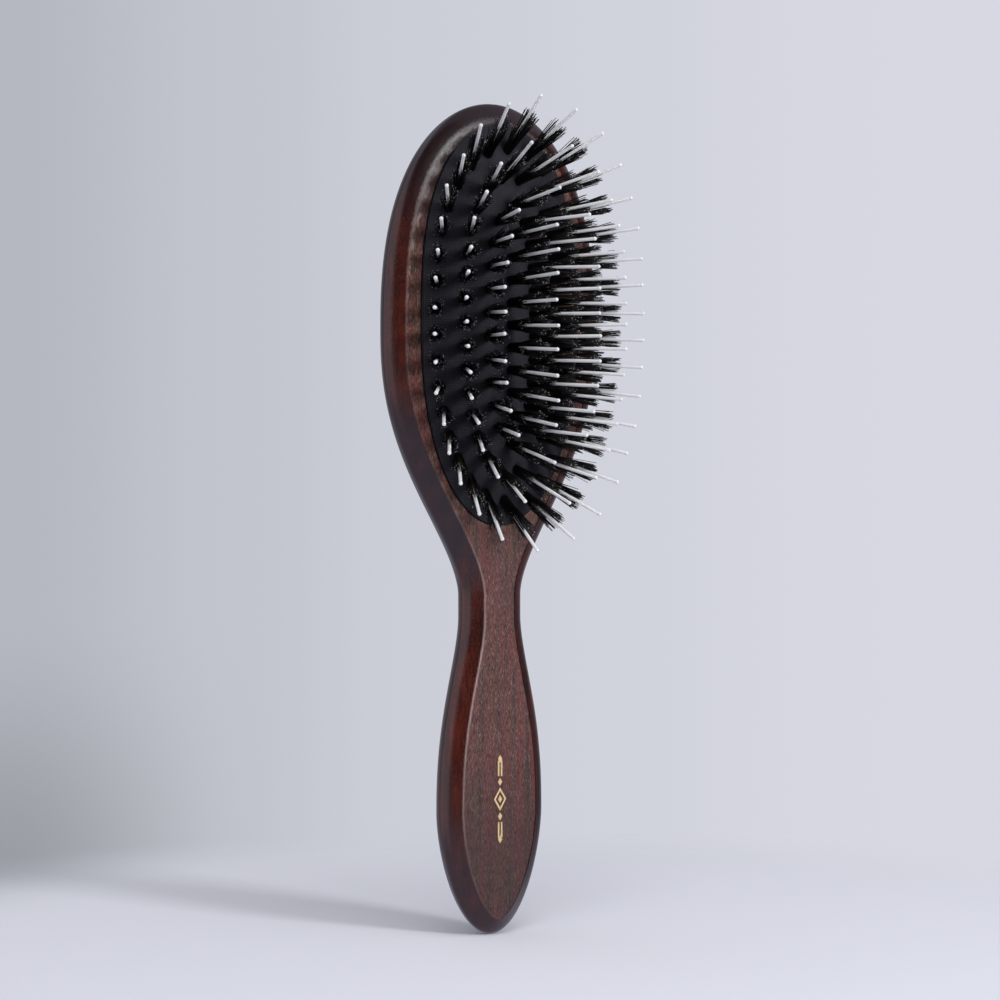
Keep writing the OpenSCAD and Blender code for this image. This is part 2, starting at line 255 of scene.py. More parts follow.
# Origin on the cushion, direction and two cross directions of every pin in a ring, slightly uneven as set by
# hand, and each pin's way through the rubber; the generator is given too, for draws that follow
def pinFrames(k):
    rng = np.random.default_rng(field["seed"] + k)
    p = ringPlaces(k)
    origin = np.stack([p[:, 0], faceY - pad["crown"] * domeShare(p[:, 0], p[:, 1]), padZ + p[:, 1]], -1)
    d = ringLeans(k, p)
    through = pad["rubberT"] / -d[:, 1]
    d = d + rng.normal(0, field["wobble"], d.shape)
    d /= np.linalg.norm(d, axis=-1, keepdims=True)
    e = np.cross(d, [0.0, 0.0, 1.0])
    e /= np.linalg.norm(e, axis=-1, keepdims=True)
    return origin, d, e, np.cross(d, e), through, rng


# Materials

# A node with its settings and input values; i0, i1... are inputs by number, and an output socket is linked
def addNode(tree, kind, settings=None, **inputs):
    node = tree.nodes.new(kind)
    for key, value in (settings or {}).items():
        setattr(node, key, value)
    for key, value in inputs.items():
        numbered = key[0] == "i" and key[1:].isdigit()
        socket = node.inputs[int(key[1:])] if numbered else node.inputs[key.replace("_", " ")]
        if isinstance(value, bpy.types.NodeSocket):
            tree.links.new(value, socket)
        else:
            socket.default_value = value
    return node


def newMaterial(name):
    material = bpy.data.materials.new(name)
    material.use_nodes = True
    tree = material.node_tree
    tree.nodes.clear()
    return material, tree


# Noise over the piece; the scale is one over the size of its grain in mm along X, Y and Z
def noise(tree, scale, detail=4, roughness=0.5, distortion=0):
    coords = addNode(tree, "ShaderNodeTexCoord").outputs["Object"]
    place = addNode(tree, "ShaderNodeMapping", Vector=coords, Scale=[s / mm for s in scale]).outputs["Vector"]
    return addNode(tree, "ShaderNodeTexNoise", Vector=place, Scale=1, Detail=detail,
                   Roughness=roughness, Distortion=distortion).outputs["Fac"]


def attribute(tree, name):
    return addNode(tree, "ShaderNodeAttribute", {"attribute_name": name}).outputs["Fac"]


def ramp(tree, value, stops, interpolation="LINEAR"):
    node = addNode(tree, "ShaderNodeValToRGB", Fac=value)
    node.color_ramp.interpolation = interpolation
    while len(node.color_ramp.elements) < len(stops):
        node.color_ramp.elements.new(0.5)
    for element, (position, colour) in zip(node.color_ramp.elements, stops):
        element.position = position
        element.color = (*colour, 1)
    return node.outputs["Color"]


# Grey that goes from 0 at the first stop to the given top at the second
def mask(tree, value, stops, top=1):
    return ramp(tree, value, [(stops[0], (0, 0, 0)), (stops[1], (top, top, top))])


# A smooth step from 0 at low to the given top at high
def smooth(tree, value, low, high, top=1.0):
    return addNode(tree, "ShaderNodeMapRange", {"interpolation_type": "SMOOTHSTEP"},
                   i0=value, i1=low, i2=high, i3=0.0, i4=top).outputs[0]


def mixColour(tree, factor, a, b, blend="MIX"):
    a, b = (colour if isinstance(colour, bpy.types.NodeSocket) else (*colour, 1) for colour in (a, b))
    return addNode(tree, "ShaderNodeMix", {"data_type": "RGBA", "blend_type": blend},
                   i0=factor, i6=a, i7=b).outputs[2]


def maths(tree, operation, a, b=0.5, c=0.5):
    return addNode(tree, "ShaderNodeMath", {"operation": operation}, i0=a, i1=b, i2=c).outputs[0]


# All the values multiplied together
def product(tree, first, *others):
    for other in others:
        first = maths(tree, "MULTIPLY", first, other)
    return first


# A bump's normal, with its depth in mm
def bumpFrom(tree, height, strength, depth):
    return addNode(tree, "ShaderNodeBump", Strength=strength, Distance=depth * mm, Height=height).outputs["Normal"]


def finishMaterial(tree, colour, roughness, normal=None, **constants):
    shader = addNode(tree, "ShaderNodeBsdfPrincipled", None, Base_Color=colour, Roughness=roughness, **constants)
    if normal is not None:
        tree.links.new(normal, shader.inputs["Normal"])
    output = addNode(tree, "ShaderNodeOutputMaterial")
    tree.links.new(shader.outputs["BSDF"], output.inputs["Surface"])


def setMaterial(piece, material):
    piece.data.materials.clear()
    piece.data.materials.append(material)


stain = {
    # layers of noise: scale along X, Y and Z, then detail, roughness and distortion
    "broad": ((0.3, 0.3, 0.012), 5, 0.55, 0.4), "fine": ((1.7, 1.7, 0.07), 4, 0.6),
    "pores": ((3.9, 3.9, 0.6), 3, 0.6), "flecks": ((4.6, 4.6, 1.1), 2, 0.5),
    "clouds": ((0.2, 0.2, 0.03), 3, 0.5), "blotches": ((0.3, 0.3, 0.1), 4, 0.6, 0.4),
    # the flat face: streaks that go from dark through umber to red and back
    "dark": (0.020, 0.010, 0.009), "umber": (0.089, 0.032, 0.025), "red": (0.120, 0.023, 0.023),
    "streakStops": (0.38, 0.46, 0.51, 0.56, 0.64), "broadShare": 0.6, "fineShare": 0.4,
    "cloudTints": [(0.38, (1.14, 0.82, 0.96)), (0.62, (0.92, 1.12, 0.9))],
    "headZ": (104, 125), "headGain": (1.15, 1.23, 1.0),  # browner round the cushion
    # the moulding and the back
    "mouldingDark": (0.010, 0.002, 0.002), "mouldingRed": (0.060, 0.007, 0.003), "mouldingStops": (0.38, 0.58),
    "blotchTints": [(0.36, (0.6, 0.55, 0.6)), (0.62, (1.25, 1.35, 1.2))],
    # pores and pale flecks, each with how much fewer there are on the moulding, and the worn crease, lightened
    # partly as a painted highlight
    "poreStops": (0.46, 0.6), "poreShare": 0.95, "poresFewer": 0.8,
    "fleck": (0.26, 0.18, 0.165), "fleckStops": (0.56, 0.70), "fleckShare": 0.7, "flecksFewer": 0.88,
    "crease": (0.26, 0.18, 0.165), "creaseWearAndHighlight": 1.5,
    # painted shade, places darkened where less light falls: in mm, where each begins and where it is full
    "paintedShade": (0.009, 0.004, 0.005), "frontY": (18, 10),
    "topLeftX": (30, 2), "topZ": (178, 213), "topShare": 0.94,
    "leftX": (-4, -10), "neckZ": (96, 108), "headLowZ": (152, 136), "neckShare": 0.72,
    "footZ": (60, 18), "footShare": 0.5,
    # gloss and bump
    "faceRoughness": 0.37, "mouldingRoughness": 0.2, "poreRoughness": 0.3, "grainHeight": 0.3,
    "bumpStrength": 0.7, "bumpDepth": 0.08, "coat": 0.2, "coatRoughness": 0.15, "coatIor": 1.5,
}


# Streaks are noise drawn out up the brush; pores are finer, thresholded noise that darkens and dents the surface.
# Painted shade darkens the wood at the foot, at the top on the left of the face, and on the left moulding above
# the neck.
def stainedWood():
    material, tree = newMaterial("stained_wood")
    s = stain
    broad, fine, pores, flecks, clouds, blotches = (
        noise(tree, *s[layer]) for layer in ("broad", "fine", "pores", "flecks", "clouds", "blotches"))
    moulding, crease = attribute(tree, "moulding"), attribute(tree, "crease")
    place = addNode(tree, "ShaderNodeSeparateXYZ", Vector=addNode(tree, "ShaderNodeTexCoord").outputs["Object"])

    def between(axis, ends, top=1.0):
        return smooth(tree, place.outputs[axis], ends[0] * mm, ends[1] * mm, top)

    def fewerOnMoulding(share):
        return maths(tree, "SUBTRACT", 1.0, product(tree, moulding, share))

    streaks = maths(tree, "ADD", product(tree, broad, s["broadShare"]), product(tree, fine, s["fineShare"]))
    streakColours = (s["dark"], s["umber"], s["red"], s["umber"], s["dark"])
    face = ramp(tree, streaks, list(zip(s["streakStops"], streakColours)))
    face = mixColour(tree, 1.0, face, ramp(tree, clouds, s["cloudTints"]), "MULTIPLY")
    browner = mixColour(tree, 1.0, face, s["headGain"], "MULTIPLY")
    face = mixColour(tree, between(2, s["headZ"]), face, browner)
    side = ramp(tree, streaks, list(zip(s["mouldingStops"], (s["mouldingDark"], s["mouldingRed"]))))
    side = mixColour(tree, 1.0, side, ramp(tree, blotches, s["blotchTints"]), "MULTIPLY")
    colour = mixColour(tree, moulding, face, side)

    onFace = fewerOnMoulding(s["poresFewer"])
    poreMask = product(tree, mask(tree, pores, s["poreStops"]), onFace)
    colour = mixColour(tree, product(tree, poreMask, s["poreShare"]), colour, s["dark"])
    fleckMask = mask(tree, flecks, s["fleckStops"], s["fleckShare"])
    fleckMask = product(tree, fleckMask, fewerOnMoulding(s["flecksFewer"]))
    colour = mixColour(tree, fleckMask, colour, s["fleck"])
    # the crease line: wear and a painted highlight, lightened on the left crease only
    wear = product(tree, crease, product(tree, fine, s["creaseWearAndHighlight"]))
    colour = mixColour(tree, wear, colour, s["crease"])

    # painted shade: the top left of the face, the left moulding above the neck and the foot are darkened
    front = between(1, s["frontY"])
    topLeftShade = product(tree, between(0, s["topLeftX"]), front, between(2, s["topZ"], s["topShare"]))
    leftNeckShade = product(tree, between(2, s["neckZ"]), between(2, s["headLowZ"], s["neckShare"]))
    leftNeckShade = product(tree, leftNeckShade, product(tree, front, moulding, between(0, s["leftX"])))
    for shadeMask in (topLeftShade, leftNeckShade, between(2, s["footZ"], s["footShare"])):
        colour = mixColour(tree, shadeMask, colour, s["paintedShade"])

    roughness = addNode(tree, "ShaderNodeMapRange", i0=moulding, i3=s["faceRoughness"],
                        i4=s["mouldingRoughness"]).outputs[0]
    roughness = maths(tree, "ADD", roughness, product(tree, poreMask, s["poreRoughness"]))
    height = product(tree, maths(tree, "SUBTRACT", product(tree, fine, s["grainHeight"]), poreMask), onFace)
    finishMaterial(tree, colour, roughness, bumpFrom(tree, height, s["bumpStrength"], s["bumpDepth"]),
                   Coat_Weight=s["coat"], Coat_Roughness=s["coatRoughness"], Coat_IOR=s["coatIor"])
    return material


rubberLook = {
    "knotPitch": 0.5, "knot": (0.024, 0.024, 0.033), "knotPower": 2.0,
    "grime": ((0.25, 0.25, 0.25), 4, 0.6), "specks": ((3.1, 3.1, 3.1), 2, 0.5),
    "base": [(0.35, (0.003, 0.0032, 0.0045)), (0.65, (0.006, 0.006, 0.008))],
    "speck": (0.06, 0.06, 0.07), "speckStops": (0.62, 0.74), "speckShare": 0.4, "speckHeight": 0.4,
    "roughness": 0.7, "specular": 0.22, "bumpStrength": 0.5, "bumpDepth": 0.06,
}


# The weave is the product of two sine waves that cross diagonally, with knots half a millimetre apart
def cushionRubber():
    material, tree = newMaterial("cushion_rubber")
    look = rubberLook
    place = addNode(tree, "ShaderNodeSeparateXYZ", Vector=addNode(tree, "ShaderNodeTexCoord").outputs["Object"])
    anglePerMetre = 2 * math.pi / (2 * look["knotPitch"] * mm)
    diagonals = [maths(tree, way, place.outputs[0], place.outputs[2]) for way in ("ADD", "SUBTRACT")]
    waves = [maths(tree, "SINE", product(tree, diagonal, anglePerMetre)) for diagonal in diagonals]
    weave = maths(tree, "MULTIPLY_ADD", product(tree, *waves), 0.5, 0.5)
    specks = noise(tree, *look["specks"])
    base = ramp(tree, noise(tree, *look["grime"]), look["base"])
    colour = mixColour(tree, maths(tree, "POWER", weave, look["knotPower"]), base, look["knot"])
    colour = mixColour(tree, mask(tree, specks, look["speckStops"], look["speckShare"]), colour, look["speck"])
    height = maths(tree, "ADD", weave, product(tree, specks, look["speckHeight"]))
    bump = bumpFrom(tree, height, look["bumpStrength"], look["bumpDepth"])
    finishMaterial(tree, colour, look["roughness"], bump, Specular_IOR_Level=look["specular"])
    return material


nylonLook = {
    "cloud": ((0.5, 0.5, 0.5), 2), "tints": [(0.3, (0.90, 0.90, 0.92)), (0.7, (0.96, 0.96, 0.98))],
    "fine": ((4, 4, 4), 2), "bumpStrength": 0.1, "bumpDepth": 0.02,
    "roughness": 0.6, "ior": 1.53, "transmission": 0.3,
}


# Milky nylon, which lets some light through
def whiteNylon():
    material, tree = newMaterial("nylon")
    look = nylonLook
    colour = ramp(tree, noise(tree, *look["cloud"]), look["tints"])
    bump = bumpFrom(tree, noise(tree, *look["fine"]), look["bumpStrength"], look["bumpDepth"])
    finishMaterial(tree, colour, look["roughness"], bump,
                   IOR=look["ior"], Transmission_Weight=look["transmission"])
    return material


bristleLook = {
    "tones": [(0.0, (0.0012, 0.0011, 0.0013)), (0.95, (0.003, 0.0027, 0.003)),
              (0.98, (0.010, 0.006, 0.004)), (1.0, (0.07, 0.035, 0.016))],
    "pale": (0.34, 0.33, 0.33), "paleFrom": 0.985, "paleTone": 0.72,  # pale cut ends, partly a painted highlight, on the hairs above that tone
    "roughness": 0.55, "specular": 0.2,
}


# Most hairs are black. The tone of each hair picks a few brown ones, and a quarter of them have pale ends: paler
# split ends, and a painted highlight where the ends catch the light.
def boarBristle():
    material, tree = newMaterial("boar_bristle")
    look = bristleLook
    tone, end = attribute(tree, "tone"), attribute(tree, "end")
    pale = product(tree, maths(tree, "GREATER_THAN", end, look["paleFrom"]),
                   maths(tree, "GREATER_THAN", tone, look["paleTone"]))
    colour = mixColour(tree, pale, ramp(tree, tone, look["tones"]), look["pale"])
    finishMaterial(tree, colour, look["roughness"], Specular_IOR_Level=look["specular"])
    return material


foilLook = {
    "wear": ((2.5, 2.5, 1.0), 5, 0.65), "metallic": 0.9, "bumpStrength": 0.3, "bumpDepth": 0.02,
    "golds": [(0.3, (0.50, 0.35, 0.16)), (0.5, (0.80, 0.62, 0.34)), (0.75, (0.90, 0.76, 0.48))],
    "roughness": [(0.3, (0.5, 0.5, 0.5)), (0.7, (0.27, 0.27, 0.27))],
}


# Worn foil is darker, browner and rougher
def goldFoil():
    material, tree = newMaterial("gold_foil")
    look = foilLook
    wear = noise(tree, *look["wear"])
    finishMaterial(tree, ramp(tree, wear, look["golds"]), ramp(tree, wear, look["roughness"]),
                   bumpFrom(tree, wear, look["bumpStrength"], look["bumpDepth"]), Metallic=look["metallic"])
    return material


brassLook = {
    "drawn": ((6, 6, 6), 3), "tints": [(0.3, (0.42, 0.30, 0.12)), (0.7, (0.66, 0.50, 0.24))],
    "roughness": 0.35, "metallic": 1.0, "bumpStrength": 0.2, "bumpDepth": 0.02,
}


# Drawn wire, a little tarnished
def brassWire():
    material, tree = newMaterial("brass_wire")
    look = brassLook
    drawn = noise(tree, *look["drawn"])
    finishMaterial(tree, ramp(tree, drawn, look["tints"]), look["roughness"],
                   bumpFrom(tree, drawn, look["bumpStrength"], look["bumpDepth"]), Metallic=look["metallic"])
    return material


clothLook = {
    "upThreads": ((3, 3, 0.5), 3), "crossThreads": ((0.5, 0.5, 3), 3),
    "tints": [(0.35, (0.10, 0.085, 0.065)), (0.7, (0.22, 0.19, 0.15))],
    "roughness": 0.85, "bumpStrength": 0.4, "bumpDepth": 0.05,
}


# The weave is the higher of two sets of threads, each noise drawn out along its own way
def backingCloth():
    material, tree = newMaterial("backing_cloth")
    look = clothLook
    weave = maths(tree, "MAXIMUM", noise(tree, *look["upThreads"]), noise(tree, *look["crossThreads"]))
    finishMaterial(tree, ramp(tree, weave, look["tints"]), look["roughness"],
                   bumpFrom(tree, weave, look["bumpStrength"], look["bumpDepth"]))
    return material


woodMesh = {
    "handleRows": 34, "shaftRows": 56, "neckRows": 6, "flareRows": 64, "headRows": 52,
    "curvePoints": 40, "creasePoints": 7, "mouldingPoints": 14, "backPoints": 27, "sharpAngle": 38,
    "strips": 4,            # straight strips across the handle's face
    "faceZ": 101,           # where they give way to rays round the opening
    "rays": 6,              # steps along each ray
    "roundingTurns": [0, 22, 45, 68, 90], "floorShares": [0.5, 0.97], "openingAngles": 8001,
    # marks for the stain, in columns from the crease: the moulding's tone comes in over some columns, on the left
    # from further out, and the worn line, partly a painted highlight, lies beside the crease
    "rightOver": 3, "leftFrom": 2, "leftOver": 4, "wornHighlightAt": 3, "wornHighlightHalf": 2.2,
    "wornHighlightZ": [8, 36, 95, 125, 165, 195], "wornHighlightShare": [0.3, 1, 1, 0.35, 0.12, 0],
}


# Heights of the sections: 1 - cos steps up the handle's end, even steps to the head, sin steps over the head's end
def sectionHeights():
    w, m = wood, woodMesh

    def even(low, high, count):
        return low + (high - low) * np.arange(1, count + 1) / count

    handleEnd = w["gripZ"] * (1 - np.cos(np.pi / 2 * np.arange(1, m["handleRows"] + 1) / m["handleRows"]))
    headEnd = np.sin(np.pi / 2 * np.arange(1, m["headRows"]) / m["headRows"])
    return np.concatenate([
        [w["tipZ"]], handleEnd,
        even(w["gripZ"], w["neckLowZ"], m["shaftRows"]),
        even(w["neckLowZ"], w["neckTopZ"], m["neckRows"]),
        even(w["neckTopZ"], w["headZ"], m["flareRows"]),
        w["headZ"] + (w["bodyLen"] - w["headZ"]) * headEnd, [w["bodyLen"] - w["tipZ"]]])


# The moulding's profile at each height as [distance in from the outline, depth]: a short quadratic curve over the
# crease, then a cubic curve that leaves it at the given slope and ends straight along the outline
def mouldingProfile(z):
    w, m = wood, woodMesh
    t = np.linspace(0, 1, m["curvePoints"])[:, None]
    start, end = np.array([w["edgeW"], 0]), np.array([0, w["edgeD"]])
    lean = w["creasePull"] * w["edgeW"] * np.array([-1, math.tan(math.radians(w["edgeSlope"]))])
    curve = ((1 - t) ** 3 * start + 3 * t * (1 - t) ** 2 * (start + lean)
             + 3 * t ** 2 * (1 - t) * (end - [0, w["edgePull"] * w["edgeD"]]) + t ** 3 * end)
    inward, depth = w["edgeW"] - curve[:, 0], curve[:, 1]
    up = np.clip((z - w["topRoundZ"]) / w["topRoundOver"], 0, 1)
    r = (w["creaseRound"] + (w["topRound"] - w["creaseRound"]) * up ** 2 * (3 - 2 * up))[:, None]
    s = np.linspace(0, 1, m["creasePoints"])[None]
    crease = np.stack([(1 - s) ** 2 * (w["edgeW"] + r) + 2 * s * (1 - s) * w["edgeW"] + s ** 2 * (w["edgeW"] - r),
                       s ** 2 * np.interp(r, inward, depth)], -1)
    # the rest of the cubic curve at even shares of its path
    share = np.linspace(0, 1, m["mouldingPoints"])[None, 1:]
    walked = np.concatenate([[0], np.cumsum(np.hypot(*np.diff(curve, axis=0).T))])
    begun = np.interp(r, inward, walked)
    place = begun + (walked[-1] - begun) * share
    rest = np.stack([np.interp(place, walked, curve[:, 0]), np.interp(place, walked, depth)], -1)[:, :-1]
    return np.concatenate([crease, rest], 1)


# Right half of every section: the profile set in from the outline along its normal, then a quarter ellipse round
# the back, pulled down to the sanded flat by flat - soft * log(1 + e^((flat - y) / soft))
def rightHalf(z):
    w = wood
    half = halfWidth(z)[:, None]
    inX, inZ = outlineInward(z)
    profile = mouldingProfile(z)
    front = np.stack([
        half + inX[:, None] * profile[..., 0],
        faceY + profile[..., 1],
        z[:, None] + inZ[:, None] * profile[..., 0]], -1)
    a = np.radians(np.linspace(0, 90, woodMesh["backPoints"]))
    rear = np.stack([
        half * np.cos(a),
        faceY + w["edgeD"] + backDepth(z)[:, None] * np.sin(a),
        np.broadcast_to(z[:, None], (len(z), len(a)))], -1)
    flatY, soft = faceY + w["headT"] - w["flatCut"], w["flatSoft"]
    rear[..., 1] = flatY - soft * np.log1p(np.exp((flatY - rear[..., 1]) / soft))
    rear[:, -1, 0] = 0
    return np.concatenate([front, rear], 1)


# The opening as [share of the oval, distance out, depth]: the chamber's floor and wall, the groove, the lip, and
# a quarter round onto the face
def openingSteps():
    r = wood["openingRound"]
    floor = pad["chamberD"]
    groove = pad["lipT"] + pad["beadT"] + pad["backingT"] + 3 * pad["seatGap"]
    turns = np.radians(woodMesh["roundingTurns"])
    return ([(share, 0, floor) for share in woodMesh["floorShares"]]
            + [(1, 0, floor - wood["chamberRound"]), (1, 0, groove), (1, pad["grooveW"], groove),
               (1, pad["grooveW"], pad["lipT"]), (1, 0, pad["lipT"])]
            + [(1, r * (1 - math.cos(q)), r * (1 - math.sin(q))) for q in turns])


# Sections run from the crease round the moulding and the back. The front face is filled in two parts: straight
# strips across the handle, and rays from the cushion's opening out to the crease on the head.
def makeWoodenBody():
    m = woodMesh
    z = sectionHeights()
    right = rightHalf(z)
    sides = np.concatenate([right, right[:, -2::-1] * [-1, 1, 1]], 1)
    rows, halfCols, cols = len(z), right.shape[1], sides.shape[1]
    count = rows * cols
    side = np.arange(count).reshape(rows, cols)
    points = [sides.reshape(-1, 3)]
    column = np.arange(halfCols)
    onRight = np.clip(column / m["rightOver"], 0, 1)
    onLeft = np.clip((column - m["leftFrom"]) / m["leftOver"], 0, 1)
    line = np.clip(1 - np.abs(column - m["wornHighlightAt"]) / m["wornHighlightHalf"], 0, 1)
    wornHighlight = np.interp(z, m["wornHighlightZ"], m["wornHighlightShare"])[:, None]
    mouldings = [np.tile(np.concatenate([onRight, onLeft[-2::-1]]), rows)]
    creases = [(wornHighlight * np.concatenate([0 * line, line[-2::-1]])).reshape(-1)]  # wear and a painted highlight, on its left side only

    def addPoints(p, moulding=0.0, crease=0.0):
        nonlocal count
        p = p.reshape(-1, 3)
        points.append(p)
        mouldings.append(np.broadcast_to(moulding, len(p)))
        creases.append(np.broadcast_to(crease, len(p)))
        count += len(p)
        return np.arange(count - len(p), count)

    # points on straight lines between two edges
    share = np.arange(1, m["strips"]) / m["strips"]

    def strips(a, b):
        return a[..., None, :] * (1 - share[:, None]) + b[..., None, :] * share[:, None]

    cut = int(np.argmax(sides[:, 0, 2] > m["faceZ"]))
    inner = addPoints(strips(sides[:cut + 1, 0], sides[:cut + 1, -1])).reshape(cut + 1, -1)
    handle = np.concatenate([side[:cut + 1, :1], inner, side[:cut + 1, -1:]], 1)

    # a rounded end: strips across between the mirrored halves of the first or last section
    def endStrips(row, first):
        mid = sides[row, 1:halfCols - 1]
        marks = [np.repeat(values[1:-1], m["strips"] - 1) for values in (onLeft, line)]
        inner = addPoints(strips(mid, mid * [-1, 1, 1]), *marks).reshape(halfCols - 2, -1)
        table = np.concatenate([side[row, 1:halfCols - 1, None], inner,
                                side[row, cols - 2:halfCols - 1:-1, None]], 1)
        table = np.concatenate([first[None], table])
        tip = np.stack([table[-1, :-1], table[-1, 1:], np.full(m["strips"], side[row, halfCols - 1])], -1)
        return [quadsOf(table), tip]

    topRow = np.concatenate([side[-1:, 0], addPoints(strips(sides[-1, 0], sides[-1, -1])), side[-1:, -1]])
    ends = endStrips(0, handle[0]) + endStrips(rows - 1, topRow)

    # closed loop round the head's face, and the oval angle that faces each of its points
    loop = np.concatenate([side[cut:, 0], topRow[1:-1], side[:cut - 1:-1, -1], handle[cut, -2:0:-1]])
    loopPoints = np.concatenate(points)[loop]
    fineAngles = np.linspace(-np.pi / 2, np.pi / 2, m["openingAngles"])
    creasePlace = sides[cut:, 0][:, [0, 2]] - [0, padZ]
    apart = np.linalg.norm(creasePlace[:, None] - openingPoint(fineAngles, 0)[None], axis=-1)
    nearest = fineAngles[np.argmin(apart, 1)]
    lowA, topA = nearest[0], nearest[-1]
    angles = np.concatenate([
        nearest,
        topA + (np.pi - 2 * topA) * share,
        (np.pi - nearest)[::-1],
        (np.pi - lowA) + (np.pi + 2 * lowA) * share])
    rim = []
    for scale, out, depth in openingSteps():
        q = scale * openingPoint(angles, out)
        rim.append(np.stack([q[:, 0], np.full(len(q), faceY + depth), padZ + q[:, 1]], -1))
    rim += [rim[-1] + (loopPoints - rim[-1]) * (j / m["rays"]) for j in range(1, m["rays"])]
    face = np.concatenate([addPoints(np.stack(rim)).reshape(len(rim), len(loop)), loop[None]])
    pole = addPoints(np.array([[0, faceY + pad["chamberD"], padZ]]))

    piece = makeShell("woodenBody", np.concatenate(points),
                      [quadsOf(side), quadsOf(handle), *ends, quadsOf(face, True), fanOf(face[0], pole[0])],
                      m["sharpAngle"],
                      {"moulding": np.concatenate(mouldings), "crease": np.concatenate(creases)})
    setMaterial(piece, stainedWood())
    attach(piece, "wooden_body")
    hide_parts("wooden_body")
    print("wooden body:", len(piece.data.polygons), "faces")


cushionShape = {
    "columns": 480, "rows": 84, "sharpAngle": 50, "dimpleD": 0.55, "dimpleR": 1.7,
    "puff": 0.12, "puffFrom": 2, "puffOver": 2,  # rise of the rubber away from the tufts
    "edgeDepths": [0.25, 0.8], "insideShares": [0.93, 0.86, 0.78, 0.68, 0.55, 0.4, 0.2],
}


# A closed shell round the oval. The front is the dome with a small bell-shaped dimple at each tuft, depth times
# exp(-(distance / radius)^4); it goes down the opening's side into the bead, and back along the inside.
def makeCushion():
    c = cushionShape
    a = np.linspace(0, 2 * np.pi, c["columns"], endpoint=False)
    edge = openingPoint(a, -pad["sideGap"])
    normal = openingPoint(a, 1.0) - openingPoint(a, 0.0)
    places = np.concatenate([ringPlaces(k) for k in range(4)])
    beadTop = pad["lipT"] + pad["seatGap"]
    beadLow = beadTop + pad["beadT"]
    beadOut = pad["sideGap"] + pad["grooveW"] - pad["seatGap"]

    def surface(shares, depth, dimpled):
        q = shares[:, None, None] * edge[None]
        y = faceY + depth - pad["crown"] * domeShare(q[..., 0], q[..., 1])
        if dimpled:
            far = np.full(q.shape[:2], np.inf)
            for p in places:
                far = np.minimum(far, np.hypot(q[..., 0] - p[0], q[..., 1] - p[1]))
            y = (y + c["dimpleD"] * np.exp(-(far / c["dimpleR"]) ** 4)
                 - c["puff"] * np.clip((far - c["puffFrom"]) / c["puffOver"], 0, 1))
        return np.stack([q[..., 0], y, padZ + q[..., 1]], -1)

    def wall(out, depth):
        q = edge + out * normal
        return np.stack([q[:, 0], np.full(len(q), faceY + depth), padZ + q[:, 1]], -1)[None]

    points = np.concatenate([
        surface(np.linspace(0, 1, c["rows"] + 1)[1:], 0, True),
        *(wall(0, depth) for depth in (*c["edgeDepths"], beadTop)),
        wall(beadOut, beadTop), wall(beadOut, beadLow), wall(-pad["rubberT"], beadLow),
        surface(np.array(c["insideShares"]), pad["rubberT"], False)])
    crownY = faceY - pad["crown"]
    poles = np.array([[0, crownY, padZ], [0, crownY + pad["rubberT"], padZ]])
    table = np.arange(points.shape[0] * points.shape[1]).reshape(points.shape[:2])
    faces = [quadsOf(table, True), fanOf(table[0], table.size)[:, ::-1], fanOf(table[-1], table.size + 1)]
    piece = makeShell("rubberCushion", np.concatenate([points.reshape(-1, 3), poles]), faces, c["sharpAngle"])
    setMaterial(piece, cushionRubber())
    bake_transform(piece)
    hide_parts("rubber_cushion")
    print("cushion:", len(piece.data.polygons), "faces")


pinShape = {
    "drawn": 0.9,  # thickness of the shank and the ball as a share of the part's
    "sides": 12, "sharpAngle": 50, "ballAngles": [-30, 0, 30, 58, 80],
    "neckLen": 0.25, "shorter": 0.1, "uneven": 0.12,
}


# A profile of [radius, distance along the pin] turned round each pin's own line: foot, shank, ball tip
def makePins(k, material):
    origin, d, e1, e2, through, rng = pinFrames(k)
    n, sides, f, s = len(origin), pinShape["sides"], field, pinShape
    foot = -through - f["rootLen"] - f["footT"]
    tip = f["pinLen"] - s["shorter"] - np.abs(rng.normal(0, s["uneven"], n))
    shankR, ballR = s["drawn"] * f["pinR"], s["drawn"] * f["ballR"]
    neck = ballR * math.sqrt(1 - (shankR / ballR) ** 2)
    ball = np.radians(s["ballAngles"])
    radius = np.concatenate([[f["footR"], f["footR"], shankR, shankR], ballR * np.cos(ball)])
    far = np.concatenate([
        foot[:, None], foot[:, None] + f["footT"], foot[:, None] + f["footT"],
        tip[:, None] - ballR - neck - s["neckLen"], tip[:, None] - ballR + ballR * np.sin(ball)[None]], 1)
    turn = 2 * np.pi * np.arange(sides) / sides
    ringDir = np.cos(turn)[None, :, None] * e1[:, None] + np.sin(turn)[None, :, None] * e2[:, None]
    points = (origin[:, None, None] + far[:, :, None, None] * d[:, None, None]
              + radius[None, :, None, None] * ringDir[:, None])
    poles = np.stack([origin + foot[:, None] * d, origin + tip[:, None] * d], 1)
    table = np.arange(len(radius) * sides).reshape(-1, sides)
    faces = [quadsOf(table, True), fanOf(table[0], table.size)[:, ::-1], fanOf(table[-1], table.size + 1)]
    piece = makeShell(ringNames[k] + "_pinSet",
                      np.concatenate([points.reshape(n, -1, 3), poles], 1).reshape(-1, 3),
                      [repeated(part, n, table.size + 2) for part in faces], s["sharpAngle"])
    setMaterial(piece, material)
    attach(piece, ringBodies[k])
    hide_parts(ringNames[k] + "_pins")
    print(ringNames[k], "pins:", n)


